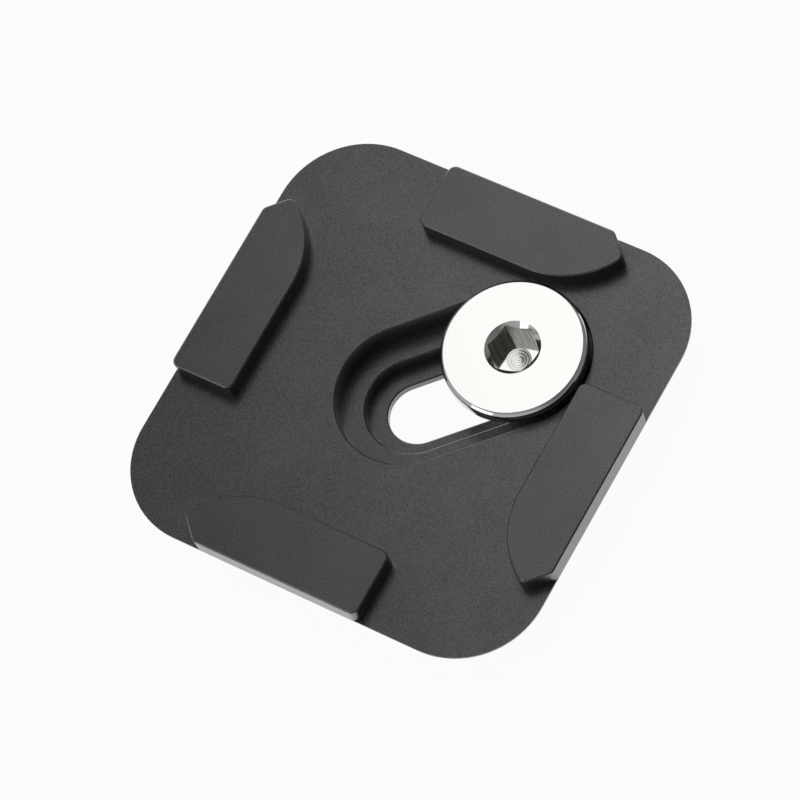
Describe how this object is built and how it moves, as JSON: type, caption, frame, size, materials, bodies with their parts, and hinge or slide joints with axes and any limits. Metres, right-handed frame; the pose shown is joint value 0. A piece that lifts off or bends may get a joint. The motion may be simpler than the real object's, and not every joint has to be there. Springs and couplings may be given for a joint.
{
  "type": "tripod quick release plate",
  "caption": "Square black plate with a dovetail rim and swept pads on its clamp side, and a steel camera screw that slides in a stepped diagonal slot.",
  "frame": {"origin": "centre of the plate on its camera face, which lies on the table", "axes": "+Z out of the clamp side with its pads; +X and +Y square to the plate's edges; the slot runs towards the +X +Y corner"},
  "size_m": [0.05, 0.05, 0.0084],
  "materials": {
    "black_anodised_aluminium": "bead-blasted and anodised black",
    "polished_steel": "turned and polished"
  },
  "bodies": {
    "plate": {"base_plate": "black_anodised_aluminium"},
    "screw": {"camera_screw": "polished_steel"}
  },
  "joints": [
    {"name": "screw_slide", "type": "slide", "parent": "plate", "child": "screw", "axis": [0.7071, 0.7071, 0], "range_m": [-0.0122, 0]}
  ]
}
